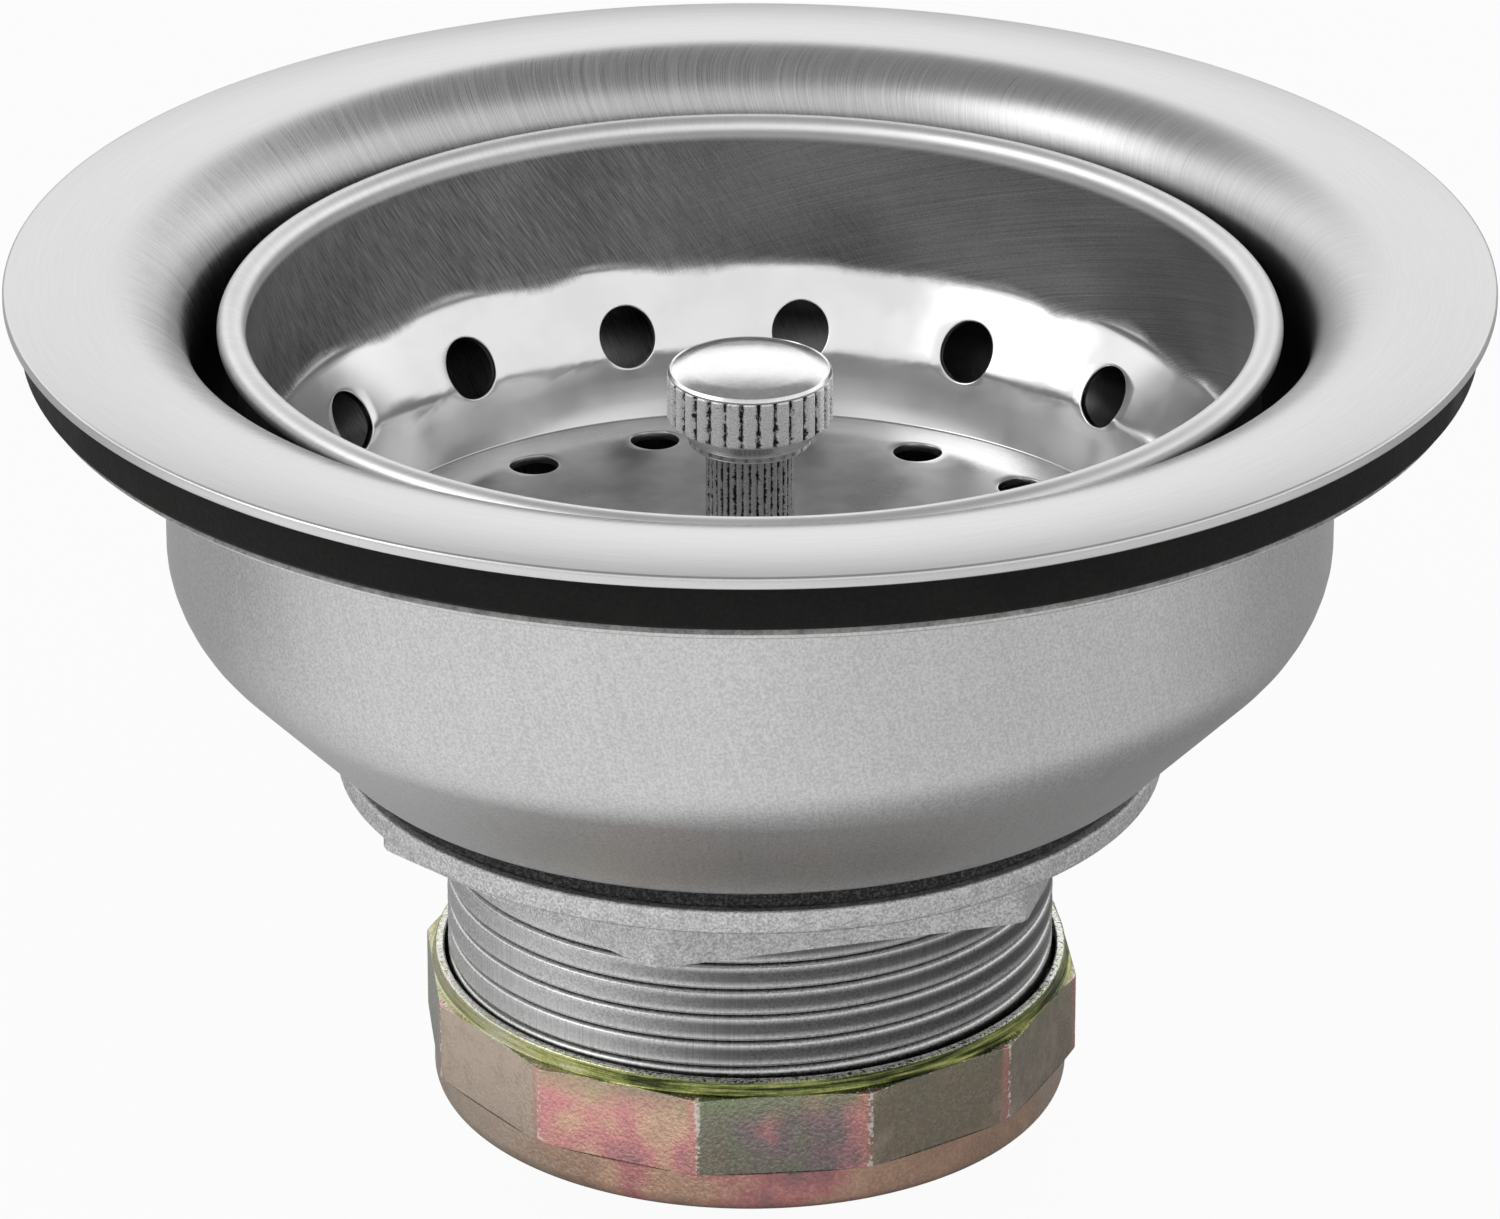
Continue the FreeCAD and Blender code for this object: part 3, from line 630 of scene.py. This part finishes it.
def makeOutlet(castMaterial, threadMaterial):
    bottom, top = boxOf("outlet_spigot")
    outlet = {"bore": 20.3, "root": 23.2, "crest": 23.85, "pitch": 2.2087, "land": 1.84, "flange": 30.5,
              "flangeThick": 2.0, "threadTop": -34.6, "lead": 0.9, "soft": 0.25, "stepsPerTurn": 160}
    bar = {"top": -36.0, "width": 3.4, "height": 3.5, "arms": 4, "hub": 6.2, "hubHole": 3.9, "hubHeight": 4.5,
           "hubRound": 0.6, "holeRound": 0.3, "armRound": 0.5, "armSunk": 0.9}
    under = top - outlet["flangeThick"]
    turnedPiece("outlet_tube", [
        (outlet["bore"], top, outlet["soft"]),
        (outlet["flange"], top, outlet["soft"]),
        (outlet["flange"], under, outlet["soft"]),
        (outlet["root"], under, outlet["soft"]),
        (outlet["root"], bottom, outlet["soft"]),
        (outlet["bore"], bottom, outlet["soft"]),
    ], "strainer", "die_cast", castMaterial, "outlet_spigot")

    bm = bmesh.new()
    addProfile(bm, [
        (bar["hubHole"], bar["top"], bar["holeRound"]),
        (bar["hub"], bar["top"], bar["hubRound"]),
        (bar["hub"], bar["top"] - bar["hubHeight"], bar["hubRound"]),
        (bar["hubHole"], bar["top"] - bar["hubHeight"], bar["holeRound"]),
    ], closed=True)
    spinRound(bm, 96)
    reach = (bar["hub"] + bar["hubHole"]) / 2
    length = outlet["bore"] + bar["armSunk"] - reach
    middle = Matrix.Translation(Vector((reach + length / 2, 0, bar["top"] - bar["height"] / 2)) * mm)
    size = Matrix.Diagonal((length * mm, bar["width"] * mm, bar["height"] * mm, 1))
    for arm in range(bar["arms"]):
        turn = Matrix.Rotation(arm * fullTurn / bar["arms"], 4, "Z")
        made = bmesh.ops.create_cube(bm, size=1.0, matrix=turn @ middle @ size)
        edges = {edge for vert in made["verts"] for edge in vert.link_edges}
        bmesh.ops.bevel(bm, geom=list(edges), offset=bar["armRound"] * mm, offset_type="OFFSET", segments=3,
                        profile=0.5, affect="EDGES", material=-1)
    addPiece(bm, "outlet_crossbar", "strainer", "die_cast", castMaterial)

    makeThread(outlet, bottom, threadMaterial)


def makeThread(outlet, bottom, material):
    # one closed ridge wound up the tube, with its lower end run down into the tube
    ridge = {"sunk": 0.25, "above": 0.9, "edge": 0.3, "dip": 0.05, "dipRound": 1.5, "gap": 0.02,
             "slack": 0.002}
    flank = (outlet["pitch"] - outlet["land"]) / 2
    width = 2 * flank + outlet["land"]
    buried = outlet["root"] - ridge["sunk"]
    start = bottom + outlet["pitch"] * ridge["above"]
    turns = int((outlet["threadTop"] - start) / outlet["pitch"])
    bm = bmesh.new()
    addProfile(bm, [
        (buried, start),
        (outlet["root"], start),
        (outlet["crest"], start + flank, ridge["edge"]),
        (outlet["crest"] - ridge["dip"], start + flank + outlet["land"] / 2, ridge["dipRound"]),
        (outlet["crest"], start + flank + outlet["land"], ridge["edge"]),
        (outlet["root"], start + width - ridge["gap"]),
        (buried, start + width - ridge["gap"]),
    ], closed=True)
    rise = outlet["pitch"] * mm / sectors
    spinSector(bm, outlet["stepsPerTurn"], rise)
    repeatRound(bm, sectors * turns, rise)
    joinPoints(bm)
    bmesh.ops.holes_fill(bm, edges=[edge for edge in bm.edges if edge.is_boundary])
    bmesh.ops.recalc_face_normals(bm, faces=bm.faces[:])
    # for the finish: how deep each point lies and how far across the ridge
    groove = bm.verts.layers.float.new("groove")
    across = bm.verts.layers.float.new("across")
    leadTop = start + outlet["lead"]
    for vert in bm.verts:
        radius = vert.co.xy.length
        turned = math.atan2(vert.co.y, vert.co.x) / fullTurn % 1
        climbed = (vert.co.z / mm - start) / outlet["pitch"] - turned + ridge["slack"]
        vert[across] = climbed % 1 * outlet["pitch"] / width
        vert[groove] = (outlet["crest"] - radius / mm) / (outlet["crest"] - outlet["root"])
        limit = outlet["crest"] - max(0.0, leadTop - vert.co.z / mm)
        if radius > limit * mm:
            vert.co.xy *= limit * mm / radius
    addPiece(bm, "outlet_thread", "strainer", "die_cast", material, sharp=30)


# Nuts

def makeLocknut(material):
    bottom, top = boxOf("locknut")
    nut = {"bore": 24.15, "plate": 32.26, "plateThick": 1.94, "apothem": 25.67, "turn": 45.5, "sides": 6,
           "soft": 0.3, "inset": 0.2, "mouth": 0.15, "corner": 0.14, "clear": 0.05}
    corner = nut["apothem"] / math.cos(math.pi / nut["sides"])
    hexTop = top - nut["plateThick"]
    bm = bmesh.new()
    addProfile(bm, [
        (nut["bore"], top, nut["soft"]),
        (nut["plate"], top, nut["soft"]),
        (nut["plate"], hexTop, nut["soft"]),
        (corner, hexTop, nut["inset"]),
        (corner, bottom, nut["soft"]),
        (nut["bore"], bottom, nut["mouth"]),
    ], closed=True)
    spinRound(bm, 288)
    pressFlats(bm, nut["sides"], nut["apothem"], nut["turn"], bottom, hexTop - nut["clear"], nut["corner"])
    addPiece(bm, "lock_nut", "locknut", "die_cast", material, "locknut")


couplingNut = {"bore": 24.15, "rim": 24.85, "collar": 25.0, "apothem": 25.11, "corner": 26.05, "flats": 12,
               "turn": 6.0, "band": 1.4, "ledge": 0.28, "ledgeIn": 0.04, "skirt": 3.6, "step": 0.3,
               "lip": 1.56, "lipHole": 19.55, "footRound": 1.5, "rimRound": 0.25, "soft": 0.2, "crisp": 0.1,
               "press": 0.08}
couplingNut["bottom"], couplingNut["top"] = boxOf("coupling_nut")
couplingNut["skirtTop"] = couplingNut["bottom"] + couplingNut["skirt"]
couplingNut["bevelFoot"] = couplingNut["top"] - couplingNut["band"]


def makeCouplingNut(material):
    nut = couplingNut
    bm = bmesh.new()
    addProfile(bm, [
        (nut["bore"], nut["top"], nut["soft"]),
        (nut["rim"], nut["top"], nut["rimRound"]),
        (nut["apothem"] - nut["ledgeIn"], nut["bevelFoot"] + nut["ledge"], nut["crisp"]),
        (nut["corner"], nut["bevelFoot"], nut["soft"]),
        (nut["corner"], nut["skirtTop"] + nut["step"], nut["soft"]),
        (nut["collar"], nut["skirtTop"], nut["crisp"]),
        (nut["collar"], nut["bottom"], nut["footRound"]),
        (nut["lipHole"], nut["bottom"], nut["soft"]),
        (nut["lipHole"], nut["bottom"] + nut["lip"], nut["soft"]),
        (nut["bore"], nut["bottom"] + nut["lip"]),
    ], closed=True)
    # the outer ledges are cut finer for the flats to end in
    ledges = []
    for edge in bm.edges:
        first, second = [vert.co.x for vert in edge.verts]
        slopes = edge.calc_length() > 0.5 * mm and abs(first - second) > 0.3 * mm
        if slopes and first > nut["bore"] * mm * 1.02:
            ledges.append(edge)
    bmesh.ops.subdivide_edges(bm, edges=ledges, cuts=10)
    spinRound(bm, 432)
    pressFlats(bm, nut["flats"], nut["apothem"], nut["turn"], nut["skirtTop"], nut["top"], nut["press"])
    addPiece(bm, "pipe_nut", "coupling_nut", "yellow_chromate", material, "coupling_nut", sharp=30)


# Basket

basketLie = {"turn": 16.0}


def makeBasket(material, outside):
    top = boxOf("basket")[1]
    basket = {"sheet": 0.7, "wall": 38.7, "roll": 1.1, "curl": 235, "coneTop": -14.3, "coneRound": 3.0,
              "floorRadius": 33.5, "floorEdge": -25.4, "edgeRound": 0.15, "crease": 28.6, "floor": -24.7,
              "creaseSoft": 0.05, "ring": 12.0, "stemHole": 2.6, "fold": 35.2, "foldHeight": -20.3,
              "hollow": 0.12, "edge": 0.15}
    wallHole = {"radius": 2.25, "height": -19.2, "reach": 3.3}
    floorHole = {"radius": 1.95, "place": 27.6, "reach": 2.75}
    perSector = 16
    steps = sectors * perSector

    def coneRadius(height):
        # two slopes that meet in a fold through the holes, the lower one steeper and slightly hollow
        if height > basket["foldHeight"]:
            share = (height - basket["foldHeight"]) / (basket["coneTop"] - basket["foldHeight"])
            return basket["fold"] + (basket["wall"] - basket["fold"]) * share
        share = (height - basket["floorEdge"]) / (basket["foldHeight"] - basket["floorEdge"])
        bulge = 4 * basket["hollow"] * share * (1 - share)
        return basket["floorRadius"] + (basket["fold"] - basket["floorRadius"]) * share + bulge

    def floorHeight(radius):
        # the floor lies level inside its crease and falls gently to the edge outside it
        slope = (basket["floor"] - basket["floorEdge"]) / (basket["floorRadius"] - basket["crease"])
        past = radius - basket["crease"]
        return basket["floor"] - slope * (past + math.sqrt(past * past + basket["creaseSoft"])) / 2

    bandTop = wallHole["height"] + wallHole["reach"]
    bandFoot = wallHole["height"] - wallHole["reach"]
    floorOut = floorHole["place"] + floorHole["reach"]
    floorIn = floorHole["place"] - floorHole["reach"]
    bm = bmesh.new()

    # rolled rim, wall and the top of the cone
    rimHeight = top - basket["roll"]
    centre = Vector((basket["wall"] + basket["roll"], 0, rimHeight)) * mm
    first = bm.verts.new(Vector((basket["wall"], 0, rimHeight)) * mm)
    bmesh.ops.spin(bm, geom=[first], cent=centre, axis=(0, 1, 0), angle=math.radians(basket["curl"]),
                   steps=26)
    coneSteps = [bandTop + (basket["coneTop"] - bandTop) * part for part in (0.35, 0.0)]
    addProfile(bm, [
        (basket["wall"], rimHeight),
        (basket["wall"], basket["coneTop"], basket["coneRound"]),
    ] + [(coneRadius(height), height) for height in coneSteps])
    # foot of the cone, then the floor inside its row of holes
    footSteps = [bandFoot + (basket["floorEdge"] - bandFoot) * part for part in (0.0, 0.5)]
    between = (basket["floorRadius"] + floorOut) / 2
    addProfile(bm, [(coneRadius(height), height) for height in footSteps] + [
        (basket["floorRadius"], basket["floorEdge"], basket["edgeRound"]),
        (between, floorHeight(between)),
        (floorOut, floorHeight(floorOut)),
    ])
    addProfile(bm, [
        (floorIn, floorHeight(floorIn)),
        (basket["ring"], basket["floor"]),
        (basket["stemHole"], basket["floor"]),
    ])
    joinPoints(bm)
    spinRound(bm, steps)

    # punched bands: one sector each, bent onto the cone or the floor and repeated round
    def punch(radius, along, reach, bend):
        half = math.pi / sectors
        sector = bmesh.new()
        bmesh.ops.create_grid(sector, x_segments=perSector, y_segments=8, size=1.0)
        inner = [vert for vert in sector.verts if not vert.is_boundary]
        bmesh.ops.delete(sector, geom=inner, context="VERTS")
        for vert in sector.verts:
            vert.co = (vert.co.x * half * along, vert.co.y * reach, 0)
        bmesh.ops.create_circle(sector, segments=len(sector.verts), radius=radius)
        made = bmesh.ops.bridge_loops(sector, edges=sector.edges[:])
        bmesh.ops.subdivide_edges(sector, edges=made["edges"], cuts=4)
        for vert in sector.verts:
            vert.co = bend(vert.co.x / along, vert.co.y)
        repeatRound(sector, sectors)
        sheet = bpy.data.meshes.new("sector")
        sector.to_mesh(sheet)
        sector.free()
        bm.from_mesh(sheet)
        bpy.data.meshes.remove(sheet)

    def ontoCone(angle, offset):
        height = wallHole["height"] + offset
        radius = coneRadius(height)
        return Vector((radius * math.cos(angle), radius * math.sin(angle), height)) * mm

    def ontoFloor(angle, offset):
        radius = floorHole["place"] + offset
        return Vector((radius * math.cos(angle), radius * math.sin(angle), floorHeight(radius))) * mm

    punch(wallHole["radius"], coneRadius(wallHole["height"]), wallHole["reach"], ontoCone)
    punch(floorHole["radius"], floorHole["place"], floorHole["reach"], ontoFloor)
    weld(bm)
    inside = bm.faces[:]
    thicken(bm, basket["sheet"])
    under = set(bm.faces) - set(inside)
    breakEdges(bm, basket["edge"])
    # the sheet's under side has the outside finish, up to the rim
    for face in bm.faces:
        centre = face.calc_center_median()
        out = face.normal.dot(Vector((centre.x, centre.y, -abs(centre.z))).normalized())
        face.material_index = int(face in under and out > 0.3 and centre.z < rimHeight * mm)
    weld(bm)
    bmesh.ops.rotate(bm, verts=bm.verts[:], cent=(0, 0, 0),
                     matrix=Matrix.Rotation(math.radians(basketLie["turn"]), 3, "Z"))
    piece = addPiece(bm, "strainer_basket", "basket", "basket_steel", material, "basket")
    piece.data.materials.append(outside)


# Knob, stem and what hangs under the basket

def knurledPiece(name, knurl, material, *nodes, sharp):
    # a rod with a V groove at each step round it, and how deep the groove is as a value from 0 to 1
    foot, top = knurl["span"]
    bm = bmesh.new()
    addProfile(bm, [
        (0, top),
        (knurl["radius"], top, knurl["topRound"]),
        (knurl["radius"], foot, knurl["footRound"]),
        (0, foot),
    ])
    wall = [edge for edge in bm.edges if abs(edge.verts[0].co.z - edge.verts[1].co.z) > mm]
    bmesh.ops.subdivide_edges(bm, edges=wall, cuts=knurl["cuts"])
    spinRound(bm, knurl["grooves"] * knurl["stepsEach"])
    groove = bm.verts.layers.float.new("groove")
    step = fullTurn / knurl["grooves"]
    for vert in bm.verts:
        radius = vert.co.xy.length
        if radius < mm or not foot * mm <= vert.co.z <= top * mm:
            continue
        angle = math.atan2(vert.co.y, vert.co.x)
        within = abs((angle + step / 2) % step - step / 2) / step
        share = max(0.0, 1 - within / knurl["width"])
        vert[groove] = share
        vert.co.xy *= (radius - knurl["depth"] * share * mm) / radius
    addPiece(bm, name, "basket", "chrome", material, *nodes, sharp=sharp)


def makeKnob(chrome, knurl):
    bottom = boxOf("knob")[0]
    band = {"radius": 6.4, "span": (-11.25, -7.5), "topRound": 0.18, "footRound": 0.25, "cuts": 10,
            "grooves": 30, "stepsEach": 16, "depth": 0.30, "width": 0.24}
    dome = {"top": -6.5, "radius": 6.1, "foot": -7.1, "round": 18.0}
    neck = {"radius": 4.8, "top": -12.57, "inset": 0.25}
    bandFoot, bandTop = band["span"]
    turnedPiece("knob_cap", [
        (0, dome["top"]),
        (dome["radius"] * 0.55, dome["top"] - 0.12, dome["round"]),
        # a fine line between the dome and its rim
        (dome["radius"] - 0.12, dome["foot"]),
        (dome["radius"], dome["foot"] - 0.1),
        (dome["radius"] + 0.08, dome["foot"] - 0.02),
        (band["radius"] - 0.02, bandTop + 0.1, 0.15),
        (band["radius"] - 0.06, bandTop),
        (0, bandTop),
    ], "basket", "chrome", chrome, "knob", steps=128, closed=False)
    knurledPiece("knob_band", band, knurl, sharp=50)
    turnedPiece("knob_neck", [
        (0, bandFoot),
        (band["radius"] - neck["inset"], bandFoot, 0.1),
        (neck["radius"], neck["top"], 0.3),
        (neck["radius"], bottom, 0.2),
        (0, bottom),
    ], "basket", "chrome", chrome, steps=96, closed=False)


def makeStem(knurl, steel):
    bottom = boxOf("stem")[0]
    post = {"radius": 3.43, "span": (-24.7, -13.2), "topRound": 0.15, "footRound": 0.15, "cuts": 34,
            "grooves": 36, "stepsEach": 8, "depth": 0.15, "width": 0.34}
    shank = {"radius": 2.5, "sunk": 0.2, "neck": 1.9, "neckSpan": (-39.8, -36.7), "soft": 0.1, "tip": 0.8}
    knurledPiece("stem_post", post, knurl, "stem", sharp=60)
    low, high = shank["neckSpan"]
    top = post["span"][0] + shank["sunk"]
    turnedPiece("stem_shank", [
        (0, top),
        (shank["radius"], top),
        (shank["radius"], high, shank["soft"]),
        (shank["neck"], high),
        (shank["neck"], low),
        (shank["radius"], low, shank["soft"]),
        (shank["radius"], bottom, shank["tip"]),
        (0, bottom),
    ], "basket", "chrome", steel, steps=64, closed=False)


def makeUnderBasket(rubber, steel):
    foot, top = boxOf("stopper")
    stopper = {"hole": 2.6, "neck": 9.0, "outer": 26.5, "edge": 2.1, "slope": 0.7, "recess": 12.2,
               "recessDeep": 1.0}
    turnedPiece("rubber_stopper", [
        (stopper["hole"], top, 0.2),
        (stopper["neck"], top, 0.3),
        (stopper["neck"], foot + stopper["edge"] + stopper["slope"], 0.8),
        (stopper["outer"], foot + stopper["edge"], 0.6),
        (stopper["outer"], foot, 0.6),
        (stopper["recess"], foot, 0.2),
        (stopper["recess"], foot + stopper["recessDeep"]),
        (stopper["hole"], foot + stopper["recessDeep"]),
    ], "basket", "black_rubber", rubber, "stopper")

    washer = {"hole": 2.6, "outer": 12.0, "holeRound": 0.15, "outerRound": 0.25}
    section = ringSection(washer["hole"], washer["outer"], *boxOf("stopper_washer"), washer["holeRound"],
                          washer["outerRound"])
    turnedPiece("back_washer", section, "basket", "spring_steel", steel, "stopper_washer", steps=96)

    low, high = boxOf("stem_nut")
    nut = {"hole": 2.6, "holeRound": 0.15, "apothem": 4.0, "sides": 6, "chamfer": 0.35, "corner": 0.08}
    corner = nut["apothem"] / math.cos(math.pi / nut["sides"])
    bm = bmesh.new()
    section = ringSection(nut["hole"], corner, low, high, nut["holeRound"], nut["chamfer"])
    addProfile(bm, section, closed=True)
    spinRound(bm, 144)
    pressFlats(bm, nut["sides"], nut["apothem"], 0, low, high, nut["corner"])
    addPiece(bm, "stem_hex", "basket", "spring_steel", steel, "stem_nut")

    low, high = boxOf("stem_clip")
    clip = {"inner": 2.05, "innerRound": 0.1, "end": 3.0, "endRound": 0.15, "outer": 3.6, "outerRound": 1.4,
            "slit": 1.0}
    middle = (low + high) / 2
    bm = bmesh.new()
    addProfile(bm, [
        (clip["inner"], low, clip["innerRound"]),
        (clip["end"], low, clip["endRound"]),
        (clip["outer"], middle, clip["outerRound"]),
        (clip["end"], high, clip["endRound"]),
        (clip["inner"], high, clip["innerRound"]),
    ], closed=True)
    opening = clip["slit"] / clip["outer"]
    bmesh.ops.rotate(bm, verts=bm.verts[:], cent=(0, 0, 0), matrix=Matrix.Rotation(opening / 2, 3, "Z"))
    section = bm.edges[:]
    made = bmesh.ops.spin(bm, geom=bm.verts[:] + section, cent=(0, 0, 0), axis=(0, 0, 1),
                          angle=fullTurn - opening, steps=64)
    last = [item for item in made["geom_last"] if isinstance(item, bmesh.types.BMEdge)]
    for loop in (section, last):
        bmesh.ops.contextual_create(bm, geom=loop)
    bmesh.ops.recalc_face_normals(bm, faces=bm.faces[:])
    addPiece(bm, "spring_clip", "clip", "spring_steel", steel, "stem_clip")


# Studio

def makeCamera():
    view = {"distance": 747.9, "elevation": 22.581, "pitch": 24.571, "lens": 234.27, "aim": 1.0}
    lens = bpy.data.cameras.new("camera")
    lens.lens = view["lens"]
    lens.sensor_width = 36
    lens.sensor_fit = "HORIZONTAL"
    camera = bpy.data.objects.new("camera", lens)
    rise = math.radians(view["elevation"])
    back = view["distance"] * math.cos(rise)
    up = view["aim"] + view["distance"] * math.sin(rise)
    camera.location = Vector((0, -back, up)) * mm
    camera.rotation_euler = (math.radians(90 - view["pitch"]), 0, 0)
    scene.collection.objects.link(camera)
    scene.camera = camera


def makeFloor():
    # white for the camera, while the part's reflections see a painted pool of light round a painted shadow,
    # in the floor's glow
    # it lies low enough for the nut to unscrew above it
    ground = {"size": 6.0, "colour": (0.55, 0.55, 0.55), "seen": 0.95, "mirrored": 0.90, "shade": 0.022,
              "pool": (0.047, 0.082), "room": 6.8 * mm}
    bm = bmesh.new()
    bmesh.ops.create_grid(bm, x_segments=1, y_segments=1, size=ground["size"])
    bmesh.ops.translate(bm, verts=bm.verts[:], vec=(0, 0, cadBox[0].z - ground["room"]))
    material, place = startFinish("floor")
    tree = material.node_tree
    path = place.node("LightPath").socket.node
    camera, glossy, through = [Wire(tree, path.outputs[f"Is {kind} Ray"])
                               for kind in ("Camera", "Glossy", "Transmission")]
    x, y, z = place.xyz()
    radius = roundAbout(place.vector(x - ground["shade"], y, z))[0]
    pool = radius.ramp(*ground["pool"]) * y.ramp(0.05, -0.05, 0.12, 1.0) * x.ramp(-0.03, 0.10, 1.0, 0.6)
    lit = camera * ground["seen"] + glossy * pool * ground["mirrored"] + through * ground["seen"]
    plain = place.node("BsdfDiffuse", None, {"Color": ground["colour"]})
    glow = place.node("Emission", None, {"Color": (1.0, 1.0, 1.0)})
    mixed = place.node("MixShader", None, {0: lit, 1: plain, 2: glow})
    tree.links.new(mixed.socket, tree.nodes["Material Output"].inputs["Surface"])
    tree.nodes.remove(tree.nodes["Principled BSDF"])
    addObject(bm, "floor", material)


def makeLights():
    # a softbox at the left, and a sky with a tall soft panel in front and a lower one behind
    softbox = {"size": 0.8, "energy": 3.2, "place": (-1.05, -0.35, 0.85), "aim": (0, 0, -0.02)}
    lamp = bpy.data.lights.new("left", "AREA")
    lamp.shape = "RECTANGLE"
    lamp.size = softbox["size"]
    lamp.size_y = softbox["size"]
    lamp.energy = softbox["energy"]
    holder = bpy.data.objects.new("left", lamp)
    holder.location = softbox["place"]
    aim = Vector(softbox["aim"]) - holder.location
    holder.rotation_euler = aim.to_track_quat("-Z", "Y").to_euler()
    scene.collection.objects.link(holder)

    room = {"grey": 0.28, "front": 0.68, "frontRise": (0.06, 0.16), "frontFall": (0.90, 0.62), "back": 0.99,
            "backRise": (0.08, 0.28), "backFall": (0.70, 0.47)}
    world = bpy.data.worlds.new("studio")
    scene.world = world
    world.use_nodes = True
    tree = world.node_tree
    toward = Wire(tree, tree.nodes.new("ShaderNodeTexCoord").outputs["Generated"])
    y, z = toward.xyz()[1:]
    front = y.ramp(0.30, -0.10)
    tall = z.ramp(*room["frontRise"]) * z.ramp(*room["frontFall"])
    rear = z.ramp(*room["backRise"]) * z.ramp(*room["backFall"])
    level = front * tall * room["front"] + (1 - front) * rear * room["back"] + room["grey"]
    toward.feed(tree.nodes["Background"].inputs["Strength"], level)
    tree.nodes["Background"].inputs["Color"].default_value = (1, 1, 1, 1)


# Assembly

makeCamera()
makeFloor()
makeLights()
print("studio set")

rubber, fibre, poly = softFinishes()
chrome = chromeFinish()
springSteel = springSteelFinish()
dieCast = dieCastFinish()
makeCups(brushedSteelFinish(), satinSteelFinish())
makeRings(rubber, sealFinish(), fibre, poly)
makeOutlet(dieCast, threadFinish())
makeLocknut(dieCast)
makeCouplingNut(chromateFinish(couplingNut))
makeBasket(basketSteelFinish(basketLie), basketOutsideFinish())
makeKnob(chrome, knurlFinish("knurled_chrome", 0.95, 0.5))
makeStem(knurlFinish("knurled_stem", 0.52, 1.0), springSteel)
makeUnderBasket(rubber, springSteel)

scene.view_settings.view_transform = "Standard"
